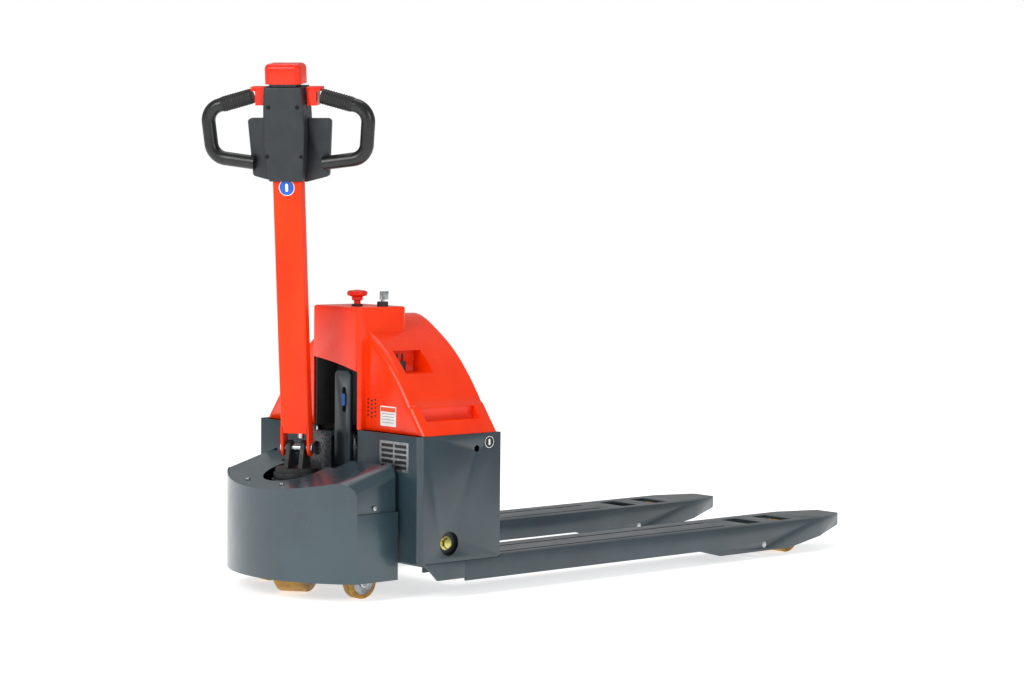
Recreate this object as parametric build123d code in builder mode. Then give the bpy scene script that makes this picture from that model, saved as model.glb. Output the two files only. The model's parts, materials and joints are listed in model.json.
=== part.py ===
from build123d import *
import os
from math import atan2, cos, degrees, radians, sin

os.makedirs("parts", exist_ok=True)

# Electric pallet truck. Millimetres, +X towards the fork tips, +Z up, floor at Z = 0.
# The origin is the middle of the truck's footprint. The tiller stands turned to one side.

# ---------------------------------------------------------------- driving sizes
overall_width = 564        # across the two forks
fork_length = 1150         # fork face to fork tips
body_length = 440          # fork face to the front of the bumper
handle_overhang = 64       # reach of the turned handle past the bumper
lowered_height = 81        # fork top above the floor
lift_height = 115          # travel of the fork frame
fork_width = 145
fork_plate = 5
clearance = 0.3            # gap between pieces that do not touch
running = 0.06             # radial gap of a turning fit
beyond = 50                # how far a cutting solid runs past what it trims

# battery box and hood
box_depth = 222
box_top = 343
sheet = 4
box_bend = 12
hood_top = 603
hood_saddle = 584
recess_half = 74
nose_wall = 8              # from the side of the well to the side of the nose
recess_top = 480

# drive cover
cover_half = 222
cover_rear = 229
cover_corner = 338
cover_bottom = 41
cover_front_top = 229
cover_slope = 0.283
shoulder = 38
bumper_sheet = 4
cover_sheet = 3
wrap_top = 184

# steering and drive wheel
steer_setback = 325        # fork face to the steering axis
steer_rest = 36            # how far the tiller stands turned at rest, degrees
drive_wheel_d = 180
drive_wheel_w = 64
tyre_wall = 18
deck_z = 196               # underside of the deck plate
deck_plate = 12
bearing_r = 76

# casters
caster_d = 70
caster_w = 28
caster_trail = 14
caster_x = 282
caster_y = 160

# load wheels
arm_setback = 324          # fork tip back to the arm pivot
arm_pivot_z = 33
load_wheel_setback = 200   # fork tip back to the load wheel
load_wheel_d = 74
load_wheel_w = 62
load_axle_d = 18

# tiller
tiller_pivot_z = 305
tiller_lean = 7            # the upright tiller leans forward, degrees
column_w = 62
column_d = 32
column_wall = 3
column_bottom = 34         # above the pivot, along the tiller
head_bottom = 568
head_length = 196
pin_d = 16

# places worked out from the sizes
tip_x = (fork_length + body_length + handle_overhang) / 2
heel_x = tip_x - fork_length
front_x = heel_x - body_length
fork_y = overall_width / 2 - fork_width / 2
half_width = overall_width / 2
steer_x = heel_x - steer_setback
box_front = heel_x - box_depth
pivot_x = tip_x - arm_setback
wheel_x = tip_x - load_wheel_setback
caster_stem_x = heel_x - caster_x - caster_trail
hood_nose_half = recess_half + nose_wall
load_r = load_wheel_d / 2
drive_r = drive_wheel_d / 2
sides = (("left", 1), ("right", -1))


# Upright planes along the truck and across it, for side profiles and cross-sections.
def along(y):
    return Plane(origin=(0, y, 0), x_dir=(1, 0, 0), z_dir=(0, -1, 0))


def across(x):
    return Plane(origin=(x, 0, 0), x_dir=(0, 1, 0), z_dir=(1, 0, 0))


# ---------------------------------------------------------------- drive cover
corner_x = heel_x - cover_corner
rear_x = heel_x - cover_rear


def cover_height(x):
    """Height of the sloping top above a place along the truck."""
    return cover_front_top + cover_slope * (x - front_x)


def cover_block(inset, height_drop, foot, rear):
    """Solid inside of the drive cover, its sides set in by inset."""
    half = cover_half - inset
    before = front_x - beyond
    with BuildPart() as block:
        with BuildSketch(Plane.XY.offset(foot)):
            with BuildLine():
                Polyline((corner_x, -half), (rear, -half), (rear, half), (corner_x, half))
                ThreePointArc((corner_x, half), (front_x + inset, 0), (corner_x, -half))
            make_face()
        extrude(amount=hood_top - foot)
        with BuildSketch(along(0)):
            with BuildLine():
                Polyline(
                    (before, cover_height(before) - height_drop),
                    (heel_x, cover_height(heel_x) - height_drop),
                    (heel_x, hood_top + beyond),
                    (before, hood_top + beyond),
                    close=True,
                )
            make_face()
        extrude(amount=overall_width, both=True, mode=Mode.SUBTRACT)
        flanks = block.edges().filter_by(lambda e: abs(abs(e.center().Y) - half) < clearance)
        shoulders = flanks.filter_by(lambda e: e.center().Z > cover_front_top - height_drop)
        fillet(shoulders.filter_by(lambda e: e.length > shoulder), shoulder - inset)
    return block.part


sleeve_inset = bumper_sheet + clearance
hollow_inset = sleeve_inset + cover_sheet
outer_block = cover_block(0, 0, cover_bottom, rear_x)
inner_block = cover_block(bumper_sheet, -1, cover_bottom - 1, rear_x + 10)
sleeve_block = cover_block(sleeve_inset, clearance, wrap_top - 60, rear_x - sleeve_inset)
hollow_block = cover_block(hollow_inset, clearance + cover_sheet, wrap_top - 61, rear_x - hollow_inset)

# Bowed front plate, folded back along both sides up to the step.
step_x = corner_x + 1.5
with BuildPart() as bumper_plate:
    add(outer_block)
    add(inner_block, mode=Mode.SUBTRACT)
    with BuildSketch(along(0)):
        with BuildLine():
            Polyline(
                (step_x, wrap_top),
                (heel_x, wrap_top),
                (heel_x, hood_top),
                (step_x, hood_top),
                close=True,
            )
        make_face()
    extrude(amount=overall_width, both=True, mode=Mode.SUBTRACT)
bumper_plate.part.label = "bumper_plate"
export_step(bumper_plate.part, "parts/bumper_plate.step")

# Sloping top sheet with rounded shoulders, bolted inside the front plate.
top_hole_r = 72
rear_opening = 25
rear_lip = 22              # sheet left standing at each side of the open rear
mast_gap_half = 96
mast_gap_depth = 70
cover_middle = 200
with BuildPart() as top_cover:
    add(sleeve_block)
    add(hollow_block, mode=Mode.SUBTRACT)
    with Locations((rear_x, 0, cover_middle)):
        Box(2 * rear_opening, 2 * (cover_half - bumper_sheet - rear_lip), hood_top, mode=Mode.SUBTRACT)
        Box(2 * mast_gap_depth, 2 * mast_gap_half, hood_top, mode=Mode.SUBTRACT)
    with Locations((steer_x, 0, cover_middle)):
        Cylinder(top_hole_r, hood_top, mode=Mode.SUBTRACT)
top_cover.part.label = "top_cover"
export_step(top_cover.part, "parts/top_cover.step")

# Screws that hold the top sheet: two on the top, one on each side.
bolt_r = 5
bolt_head = 4
top_bolt_x = front_x + 30
top_bolt_y = 60
top_bolt_z = cover_height(top_bolt_x) + clearance + bolt_head / 2
side_bolt_x = heel_x - 290
side_bolt_z = wrap_top + bolt_r + 6
cover_tilt = -degrees(atan2(cover_slope, 1))
with BuildPart() as cover_bolts:
    for y in (-top_bolt_y, top_bolt_y):
        with Locations(Location((top_bolt_x, y, top_bolt_z), (0, cover_tilt, 0))):
            Cylinder(bolt_r, bolt_head)
    for sign in (-1, 1):
        y = sign * (cover_half - bumper_sheet + bolt_head / 2)
        with Locations(Location((side_bolt_x, y, side_bolt_z), (90, 0, 0))):
            Cylinder(bolt_r, bolt_head)
cover_bolts.part.label = "cover_bolts"
export_step(cover_bolts.part, "parts/cover_bolts.step")

# ---------------------------------------------------------------- drive frame and mast
inner_half = cover_half - bumper_sheet - cover_sheet - 2
mast_x = box_front + 14
mast_y = -8
mast_half = 27
mast_plate = 8
mast_top = 465
mast_foot = 87
mast_corner = 12
slot_length = 54
slot_width = 14
slot_drop = 62             # mast top down to the middle of its slot
foot_top = mast_foot + 5   # seat of the lift cylinder
foot_length = 68
tongue_overlap = 12        # deck tongue under the deck plate's rear edge
rib = 8
rib_drop = 50
rib_low = cover_bottom + 6
deck_rear = rear_x - 8
deck_front = front_x + 12
stem_r = 14
with BuildPart() as drive_frame:
    with BuildSketch(Plane.XY.offset(deck_z)):
        with BuildLine():
            Polyline((corner_x, -inner_half), (deck_rear, -inner_half), (deck_rear, inner_half),
                     (corner_x, inner_half))
            ThreePointArc((corner_x, inner_half), (deck_front, 0), (corner_x, -inner_half))
        make_face()
        with Locations((steer_x, 0)):
            Circle(bearing_r, mode=Mode.SUBTRACT)
        with Locations((caster_stem_x, -caster_y), (caster_stem_x, caster_y)):
            Circle(stem_r, mode=Mode.SUBTRACT)
    extrude(amount=deck_plate)
    for sign in (-1, 1):
        y = sign * (inner_half - rib / 2)
        with BuildSketch(along(y)):
            with BuildLine():
                Polyline(
                    (corner_x + 2, deck_z),
                    (deck_rear, deck_z),
                    (deck_rear, rib_low),
                    (rear_x - 40, rib_low),
                    (corner_x + 2, deck_z - rib_drop),
                    close=True,
                )
            make_face()
        extrude(amount=rib / 2, both=True)
    with BuildSketch(across(mast_x - mast_plate / 2)):
        with Locations((mast_y, (mast_foot + mast_top) / 2)):
            RectangleRounded(2 * mast_half, mast_top - mast_foot, mast_corner)
        with Locations((mast_y - 6, mast_top - slot_drop)):
            SlotOverall(slot_length, slot_width, rotation=90, mode=Mode.SUBTRACT)
    extrude(amount=mast_plate)
    with Locations(((mast_x + rear_x - tongue_overlap) / 2, mast_y, deck_z + deck_plate / 2)):
        Box(mast_x - rear_x + tongue_overlap, 2 * mast_half, deck_plate)
    with Locations((mast_x - mast_plate / 2, 0, foot_top)):
        Box(foot_length, 2 * mast_half, deck_plate, align=(Align.MIN, Align.CENTER, Align.MAX))
drive_frame.part.label = "drive_frame"
export_step(drive_frame.part, "parts/drive_frame.step")

# Slewing ring of the drive head, its outer race on the deck.
race_wall = 10
with BuildPart() as steer_bearing:
    with BuildSketch(Plane.XY.offset(deck_z - 2)):
        with Locations((steer_x, 0)):
            Circle(bearing_r)
            Circle(bearing_r - race_wall, mode=Mode.SUBTRACT)
    extrude(amount=deck_plate + 2)
steer_bearing.part.label = "steer_bearing"
export_step(steer_bearing.part, "parts/steer_bearing.step")

# Lift cylinder, standing on the mast foot behind the mast plate.
cylinder_x = mast_x + 36
cylinder_r = 24
cylinder_foot = foot_top
rod_foot = cylinder_foot + 14
rod_guide = 79             # rod still inside the cylinder at full lift
cylinder_top = rod_foot + lift_height + rod_guide
rod_r = 15
lug_front = mast_x + mast_plate / 2
lug_rear = cylinder_x - cylinder_r + 4
lug_z = 150
with BuildPart() as lift_cylinder:
    with BuildSketch(Plane.XY.offset(cylinder_foot)):
        with Locations((cylinder_x, 0)):
            Circle(cylinder_r)
    extrude(amount=cylinder_top - cylinder_foot)
    with BuildSketch(Plane.XY.offset(cylinder_foot + 10)):
        with Locations((cylinder_x, 0)):
            Circle(rod_r + running)
    extrude(amount=cylinder_top - cylinder_foot, mode=Mode.SUBTRACT)
    with Locations(((lug_front + lug_rear) / 2, 0, lug_z)):
        Box(lug_rear - lug_front, 30, 60)
lift_cylinder.part.label = "lift_cylinder"
export_step(lift_cylinder.part, "parts/lift_cylinder.step")

rod_top = cylinder_top + 18
with BuildPart() as lift_rod:
    with BuildSketch(Plane.XY.offset(rod_foot)):
        with Locations((cylinder_x, 0)):
            Circle(rod_r)
    extrude(amount=rod_top - rod_foot)
lift_rod.part.label = "lift_rod"
export_step(lift_rod.part, "parts/lift_rod.step")

# Hydraulic pump: a cast block with its port, a motor lying behind it and the oil tank.
block_y = 34
block_z = 292
block_d = 26
block_rear = rear_x + 3
deck_top = deck_z + deck_plate
with BuildPart() as pump_block:
    with Locations((block_rear - block_d / 2, block_y, block_z)):
        Box(block_d, 46, 84)
    fillet(pump_block.edges().filter_by(Axis.X), 5)
    with Locations((block_rear - block_d, block_y - 6, block_z + 6)):
        Cylinder(15, 30, rotation=(0, 90, 0), mode=Mode.SUBTRACT)
pump_block.part.label = "pump_block"
export_step(pump_block.part, "parts/pump_block.step")

motor_r = 30
with BuildPart() as pump_motor:
    with Locations((rear_x - 46, -148, deck_top + motor_r + clearance)):
        Cylinder(motor_r, 62, rotation=(90, 0, 0))
        Cylinder(12, 74, rotation=(90, 0, 0))
pump_motor.part.label = "pump_motor"
export_step(pump_motor.part, "parts/pump_motor.step")

tank_x = rear_x - 34
with BuildPart() as oil_tank:
    with Locations((tank_x, 128, deck_top + 20)):
        Box(44, 96, 38)
    fillet(oil_tank.edges(), 4)
    with Locations((tank_x, 150, deck_top + 42)):
        Cylinder(9, 8)
oil_tank.part.label = "oil_tank"
export_step(oil_tank.part, "parts/oil_tank.step")

# ---------------------------------------------------------------- casters
caster_r = caster_d / 2
caster_wall = 9            # thickness of the tyre
caster_axle_r = 6
caster_boss_r = 11
fork_cheek = 3
for side, sign in sides:
    stem_x = caster_stem_x
    axle_x = stem_x + caster_trail
    y = sign * caster_y
    with BuildPart() as caster_fork:
        for cheek in (-1, 1):
            with BuildSketch(along(y + cheek * (caster_w / 2 + 2 + fork_cheek / 2))):
                with BuildLine():
                    Polyline((stem_x - 16, caster_d + 10), (stem_x + 16, caster_d + 10),
                             (axle_x + caster_boss_r, caster_r), (axle_x - caster_boss_r, caster_r),
                             close=True)
                make_face()
                with Locations((axle_x, caster_r)):
                    Circle(caster_boss_r)
                    Circle(caster_axle_r + running, mode=Mode.SUBTRACT)
            extrude(amount=fork_cheek / 2, both=True)
        with Locations((stem_x, y, caster_d + 9)):
            Cylinder(21, 6)
        with Locations((stem_x, y, (caster_d + deck_top) / 2)):
            Cylinder(stem_r - running, deck_top - caster_d - 14)
    caster_fork.part.label = f"{side}_caster_fork"
    export_step(caster_fork.part, f"parts/{side}_caster_fork.step")

    with BuildPart() as caster_hub:
        with Locations((axle_x, y, caster_r)):
            Cylinder(caster_r - caster_wall, caster_w, rotation=(90, 0, 0))
            Cylinder(caster_axle_r, caster_w + 4 + 2 * fork_cheek, rotation=(90, 0, 0))
    caster_hub.part.label = f"{side}_caster_hub"
    export_step(caster_hub.part, f"parts/{side}_caster_hub.step")

    with BuildPart() as caster_tyre:
        with Locations((axle_x, y, caster_r)):
            Cylinder(caster_r, caster_w, rotation=(90, 0, 0))
            Cylinder(caster_r - caster_wall, caster_w, rotation=(90, 0, 0), mode=Mode.SUBTRACT)
        fillet(caster_tyre.edges().filter_by(GeomType.CIRCLE).sort_by(SortBy.RADIUS)[-2:], 4)
    caster_tyre.part.label = f"{side}_caster_tyre"
    export_step(caster_tyre.part, f"parts/{side}_caster_tyre.step")

# ---------------------------------------------------------------- drive head
# Everything that steers is drawn in the steering plane: X' points away from the
# operator, Y' to the left hand, and the plane stands turned by steer_rest.
turn = radians(steer_rest)
steer_plane = Plane(origin=(steer_x, 0, 0), x_dir=(cos(turn), sin(turn), 0), z_dir=(0, 0, 1))


def steer_up(height):
    return steer_plane.offset(height)


def steer_side(offset=0):
    """Upright plane along the steered unit, X' and Z, looking from its right."""
    origin = steer_plane.from_local_coords((0, offset, 0))
    return Plane(origin=origin, x_dir=steer_plane.x_dir, z_dir=-steer_plane.y_dir)


cheek_y = drive_wheel_w / 2 + 8
cheek_t = 9
cheek_r = 30
cheek_top_half = 34
axle_r = 18
with BuildPart() as drive_gearbox:
    with BuildSketch(steer_up(deck_z - 6)):
        Circle(bearing_r - race_wall - running)
    extrude(amount=deck_plate + 12)
    with BuildSketch(steer_up(deck_z - 14)):
        Circle(bearing_r - race_wall - 4)
    extrude(amount=10)
    for cheek in (-1, 1):
        with BuildSketch(steer_side(cheek * cheek_y)):
            with BuildLine():
                Polyline((-cheek_top_half, deck_z - 4), (cheek_top_half, deck_z - 4),
                         (cheek_r, drive_r), (-cheek_r, drive_r), close=True)
            make_face()
            with Locations((0, drive_r)):
                Circle(cheek_r)
                Circle(axle_r + running, mode=Mode.SUBTRACT)
        extrude(amount=-cheek * cheek_t)
drive_gearbox.part.label = "drive_gearbox"
export_step(drive_gearbox.part, "parts/drive_gearbox.step")

# Drive wheel: steel hub on its stub axles, pressed into a polyurethane tyre.
wheel_plane = Plane(origin=(steer_x, 0, drive_r), x_dir=steer_plane.x_dir, z_dir=-steer_plane.y_dir)
with BuildPart(wheel_plane) as drive_hub:
    Cylinder(drive_r - tyre_wall, drive_wheel_w)
    Cylinder(axle_r, 2 * (cheek_y + cheek_t + 3))
    with PolarLocations(48, 5):
        Cylinder(11, drive_wheel_w, mode=Mode.SUBTRACT)
drive_hub.part.label = "drive_hub"
export_step(drive_hub.part, "parts/drive_hub.step")

with BuildPart(wheel_plane) as drive_tyre:
    Cylinder(drive_r, drive_wheel_w)
    Cylinder(drive_r - tyre_wall, drive_wheel_w, mode=Mode.SUBTRACT)
    fillet(drive_tyre.edges().filter_by(GeomType.CIRCLE).sort_by(SortBy.RADIUS)[-2:], 5)
drive_tyre.part.label = "drive_tyre"
export_step(drive_tyre.part, "parts/drive_tyre.step")

# Upright traction motor, its brake on top, and the steering head above them.
motor_bottom = deck_top + 6
traction_r = 54
brake_bottom = motor_bottom + 26
clevis_base = brake_bottom + 14
with BuildPart() as traction_motor:
    with BuildSketch(steer_up(motor_bottom)):
        Circle(traction_r)
    extrude(amount=brake_bottom - motor_bottom)
traction_motor.part.label = "traction_motor"
export_step(traction_motor.part, "parts/traction_motor.step")

with BuildPart() as drive_brake:
    with BuildSketch(steer_up(brake_bottom)):
        Circle(traction_r - 4)
    extrude(amount=clevis_base - brake_bottom)
drive_brake.part.label = "drive_brake"
export_step(drive_brake.part, "parts/drive_brake.step")

clevis_half = 20
clevis_wall = 9
clevis_r = 17
with BuildPart() as tiller_clevis:
    with BuildSketch(steer_up(clevis_base)):
        Circle(traction_r - 8)
    extrude(amount=10)
    for offset in (-clevis_half, clevis_half - clevis_wall):
        with BuildSketch(steer_side(offset)):
            with BuildLine():
                Polyline((-34, clevis_base + 5), (34, clevis_base + 5), (clevis_r, tiller_pivot_z),
                         (-clevis_r, tiller_pivot_z), close=True)
            make_face()
            with Locations((0, tiller_pivot_z)):
                Circle(clevis_r)
                Circle(pin_d / 2 + running, mode=Mode.SUBTRACT)
        extrude(amount=-clevis_wall)
tiller_clevis.part.label = "tiller_clevis"
export_step(tiller_clevis.part, "parts/tiller_clevis.step")

# ---------------------------------------------------------------- tiller
# The tiller is drawn in its own plane: its origin is the pivot, X' points away
# from the operator, Y' to the left hand, Z' up along the leaning column.
lean = radians(tiller_lean)
tilt_axis_x = (cos(turn) * cos(lean), sin(turn) * cos(lean), sin(lean))
arm = Plane(
    origin=(steer_x, 0, tiller_pivot_z),
    x_dir=tilt_axis_x,
    z_dir=(-sin(lean) * cos(turn), -sin(lean) * sin(turn), cos(lean)),
)


def arm_side(offset=0):
    """Plane of X' and Z' along the tiller."""
    return Plane(origin=arm.from_local_coords((0, offset, 0)), x_dir=arm.x_dir, z_dir=-arm.y_dir)


def arm_front(offset=0):
    """Plane of Y' and Z' across the tiller."""
    return Plane(origin=arm.from_local_coords((offset, 0, 0)), x_dir=arm.y_dir, z_dir=arm.x_dir)


ear = 5
ear_r = 18
ear_top = column_bottom + 14
with BuildPart() as tiller_column:
    with BuildSketch(arm.offset(column_bottom)):
        RectangleRounded(column_d, column_w, 5)
        Rectangle(column_d - 2 * column_wall, column_w - 2 * column_wall, mode=Mode.SUBTRACT)
    extrude(amount=head_bottom + 60 - column_bottom)
    for offset in (-column_w / 2, column_w / 2 - ear):
        with BuildSketch(arm_side(offset)):
            with BuildLine():
                Polyline((-column_d / 2, ear_top), (-ear_r, 0), (ear_r, 0), (column_d / 2, ear_top),
                         close=True)
            make_face()
            Circle(ear_r)
            Circle(pin_d / 2, mode=Mode.SUBTRACT)
        extrude(amount=-ear)
tiller_column.part.label = "tiller_column"
export_step(tiller_column.part, "parts/tiller_column.step")

with BuildPart(arm_side()) as tiller_pin:
    Cylinder(pin_d / 2, column_w)
    with Locations((0, 0, column_w / 2 + 2), (0, 0, -column_w / 2 - 2)):
        Cylinder(pin_d / 2 + 4, 4)
tiller_pin.part.label = "tiller_pin"
export_step(tiller_pin.part, "parts/tiller_pin.step")

# Gas spring that lifts the tiller: cylinder held inside the column, rod below it.
spring_y = -9
spring_r = 8
spring_rod_r = 4
spring_top = 250
spring_bottom = 76
spring_foot = 22            # lower end of the rod, above the pivot
spring_place = arm.from_local_coords((-1, spring_y, spring_bottom))
spring_plane = Plane(origin=spring_place, x_dir=arm.x_dir, z_dir=arm.z_dir)
with BuildPart(spring_plane) as gas_spring:
    Cylinder(spring_r, spring_top - spring_bottom, align=(Align.CENTER, Align.CENTER, Align.MIN))
    Cylinder(spring_rod_r + running, 2 * (spring_top - spring_bottom - 15), mode=Mode.SUBTRACT)
    with Locations((0, 0, spring_top - spring_bottom - 14)):
        Box(column_d - 2 * column_wall - 3, 12, 12)
gas_spring.part.label = "gas_spring"
export_step(gas_spring.part, "parts/gas_spring.step")

rod_length = 118
with BuildPart(spring_plane) as spring_rod:
    with Locations((0, 0, spring_foot - spring_bottom)):
        Cylinder(spring_rod_r, rod_length, align=(Align.CENTER, Align.CENTER, Align.MIN))
        Cylinder(7, 16, align=(Align.CENTER, Align.CENTER, Align.MIN))
spring_rod.part.label = "spring_rod"
export_step(spring_rod.part, "parts/spring_rod.step")

# ---------------------------------------------------------------- tiller head
# Front and rear mouldings clamp the column. The outline is narrow at the foot,
# widest in the middle and narrower again under the red button.
head_wall = 3
head_front = -27
head_split = 2
head_rear = 34
head_top = head_bottom + head_length
waist = head_bottom + 0.62 * head_length
foot_half = column_w / 2 + head_wall + 1
waist_half = 44
top_half = 40
neck_half = 29
wing_half = 90
wing_bottom = head_bottom + 8
wing_top = head_bottom + 128
wing_front = -16
wing_rear = 28


def head_outline(grow):
    """Outline of the head's middle, drawn across the tiller, grown by an amount."""
    low = head_bottom - grow
    high = head_top + grow
    foot = foot_half + grow
    top = top_half + grow
    with BuildSketch(arm_front()) as outline:
        with BuildLine():
            Polyline((-foot, low), (foot, low))
            Spline((foot, low), (waist_half + grow, waist), (top, high))
            Polyline((top, high), (-top, high))
            Spline((-top, high), (-waist_half - grow, waist), (-foot, low))
        make_face()
    return outline.sketch


outline_outer = head_outline(0)
outline_inner = head_outline(-head_wall)
outline_gap = head_outline(clearance)
shift = arm.x_dir

with BuildPart() as head_housing:
    add(extrude(outline_outer.moved(Location(shift * head_front)), dir=shift, amount=head_split - head_front))
    fillet(head_housing.faces().sort_by(Axis(arm.origin, -arm.x_dir))[-1].edges(), 5)
    add(extrude(outline_inner.moved(Location(shift * (head_front + head_wall))), dir=shift,
                amount=head_split - head_front), mode=Mode.SUBTRACT)
    with BuildSketch(arm.offset(head_top)):
        with Locations((-6, 0)):
            Rectangle(34, 2 * neck_half)
            Rectangle(28, 2 * neck_half - 6, mode=Mode.SUBTRACT)
    extrude(amount=24)
    with BuildSketch(arm.offset(head_bottom - 5)):
        Rectangle(column_d, column_w)
    extrude(amount=20, mode=Mode.SUBTRACT)
head_housing.part.label = "head_housing"
export_step(head_housing.part, "parts/head_housing.step")

bar_r = 14.5
bar_x = 6
loop_low = head_bottom + 36
loop_root = wing_half - 16
loop_elbow = (166, head_bottom + 48)
rocker_x = 10
rocker_z = head_top - 22
shaft_r = 5
thumb_w = 26
thumb_h = 18
thumb_corner = 5
thumb_places = (("horn_button", 0, 118), ("lift_button", -22, 88), ("lower_button", 22, 88))
with BuildPart() as head_cover:
    add(extrude(outline_outer.moved(Location(shift * (head_split + clearance))), dir=shift,
                amount=head_rear - head_split - clearance))
    add(extrude(outline_inner.moved(Location(shift * (head_split + clearance))), dir=shift,
                amount=head_rear - head_split - clearance - head_wall), mode=Mode.SUBTRACT)
    with BuildSketch(arm_front(wing_front)) as wings:
        with BuildLine():
            Polyline(
                (-wing_half + 8, wing_bottom),
                (-foot_half, wing_bottom - 12),
                (foot_half, wing_bottom - 12),
                (wing_half - 8, wing_bottom),
                (wing_half, wing_top),
                (-wing_half, wing_top),
                close=True,
            )
        make_face()
        fillet(wings.vertices().filter_by(lambda v: abs(arm.to_local_coords(v).Y) > foot_half + 1), 8)
    extrude(wings.sketch, amount=wing_rear - wing_front)
    add(extrude(outline_gap.moved(Location(shift * (wing_front - 1))), dir=shift,
                amount=head_split + clearance - wing_front + 1), mode=Mode.SUBTRACT)
    add(extrude(outline_inner.moved(Location(shift * head_split)), dir=shift,
                amount=head_rear - head_wall - head_split), mode=Mode.SUBTRACT)
    with BuildSketch(arm.offset(head_bottom - 15)):
        Rectangle(column_d, column_w)
    extrude(amount=30, mode=Mode.SUBTRACT)
    for sign in (-1, 1):
        root = Vector(*arm.from_local_coords((bar_x, sign * loop_root, loop_low)))
        leg = arm.y_dir * (sign * (loop_elbow[0] - loop_root)) + arm.z_dir * (loop_elbow[1] - loop_low)
        with BuildSketch(Plane(root, z_dir=leg)):
            Circle(bar_r + running)
        extrude(amount=40, mode=Mode.SUBTRACT)
    with BuildSketch(arm_side()):
        with Locations((rocker_x, rocker_z)):
            Circle(shaft_r + clearance)
    extrude(amount=top_half + 20, both=True, mode=Mode.SUBTRACT)
    with BuildSketch(arm_front(head_rear - head_wall - 1)):
        for _, y, z in thumb_places:
            with Locations((y, head_bottom + z)):
                RectangleRounded(thumb_w + 2 * clearance, thumb_h + 2 * clearance, thumb_corner + clearance)
    extrude(amount=head_wall + 2, mode=Mode.SUBTRACT)
head_cover.part.label = "head_cover"
export_step(head_cover.part, "parts/head_cover.step")

# Handle loops: a moulded bar from the wing out, up and back in to the grip.
grip_r = 15.5
loop_crown = (175, head_bottom + 148)
loop_end = (75, head_bottom + 175)
loop_bend = 34
grip_length = 68
for side, sign in sides:
    with BuildPart() as handle:
        with BuildLine(arm_front(bar_x)) as loop:
            FilletPolyline(
                (sign * loop_root, loop_low),
                (sign * loop_elbow[0], loop_elbow[1]),
                (sign * loop_crown[0], loop_crown[1]),
                (sign * loop_end[0], loop_end[1]),
                radius=loop_bend,
            )
        with BuildSketch(Plane(loop.line @ 0, z_dir=loop.line % 0)):
            Circle(bar_r)
        sweep()
    handle.part.label = f"{side}_handle"
    export_step(handle.part, f"parts/{side}_handle.step")

with BuildPart() as handle_grips:
    for side, sign in sides:
        start = Vector(sign * loop_end[0], loop_end[1])
        way = Vector(sign * loop_crown[0], loop_crown[1]) - start
        way = way.normalized()
        direction = arm.y_dir * way.X + arm.z_dir * way.Y
        origin = Vector(*arm.from_local_coords((bar_x, start.X, start.Y)))
        with BuildSketch(Plane(origin, z_dir=direction)):
            Circle(grip_r)
            Circle(bar_r, mode=Mode.SUBTRACT)
        extrude(amount=grip_length)
handle_grips.part.label = "handle_grips"
export_step(handle_grips.part, "parts/handle_grips.step")

# Red safety button over the neck of the head.
button_gap = 5
button_height = 42
button_half = 39
button_depth = 58
button_round = 11
with BuildPart() as belly_button:
    with BuildSketch(arm.offset(head_top + button_gap)):
        with Locations((2, 0)):
            RectangleRounded(button_depth, 2 * button_half, button_round + 1)
    extrude(amount=button_height)
    fillet(belly_button.faces().sort_by(Axis(arm.origin, arm.z_dir))[-1].edges(), button_round)
    with BuildSketch(arm.offset(head_top + button_gap)):
        with Locations((-6, 0)):
            Rectangle(36, 2 * neck_half + 4)
    extrude(amount=26, mode=Mode.SUBTRACT)
belly_button.part.label = "belly_button"
export_step(belly_button.part, "parts/belly_button.step")

# Drive rocker: one cross shaft with a thumb paddle at each end.
rocker_place = arm.from_local_coords((rocker_x, 0, rocker_z))
rocker_plane = Plane(origin=rocker_place, x_dir=arm.x_dir, z_dir=-arm.y_dir)
with BuildPart(rocker_plane) as throttle_rocker:
    Cylinder(shaft_r, 2 * (waist_half + 6))
    for sign in (-1, 1):
        with Locations((0, -3, sign * (waist_half + 12))):
            Box(30, 30, 20)
        with Locations((0, 16, sign * (waist_half + 16))):
            Box(30, 9, 30)
throttle_rocker.part.label = "throttle_rocker"
export_step(throttle_rocker.part, "parts/throttle_rocker.step")

# Thumb buttons on the side of the head that faces the truck.
thumb_travel = 2.5
for name, y, z in thumb_places:
    with BuildPart() as thumb_button:
        with BuildSketch(arm_front(head_rear - head_wall)):
            with Locations((y, head_bottom + z)):
                RectangleRounded(thumb_w, thumb_h, thumb_corner)
        extrude(amount=head_wall + thumb_travel + 1)
    thumb_button.part.label = name
    export_step(thumb_button.part, f"parts/{name}.step")

screw_places = ((-31, 154), (31, 154), (-37, 52), (37, 52))
screw_r = 4
screw_head = 2
with BuildPart() as head_screws:
    for y, z in screw_places:
        with BuildSketch(arm_front(head_front - screw_head - clearance)):
            with Locations((y, head_bottom + z)):
                Circle(screw_r)
        extrude(amount=screw_head)
head_screws.part.label = "head_screws"
export_step(head_screws.part, "parts/head_screws.step")

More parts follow.
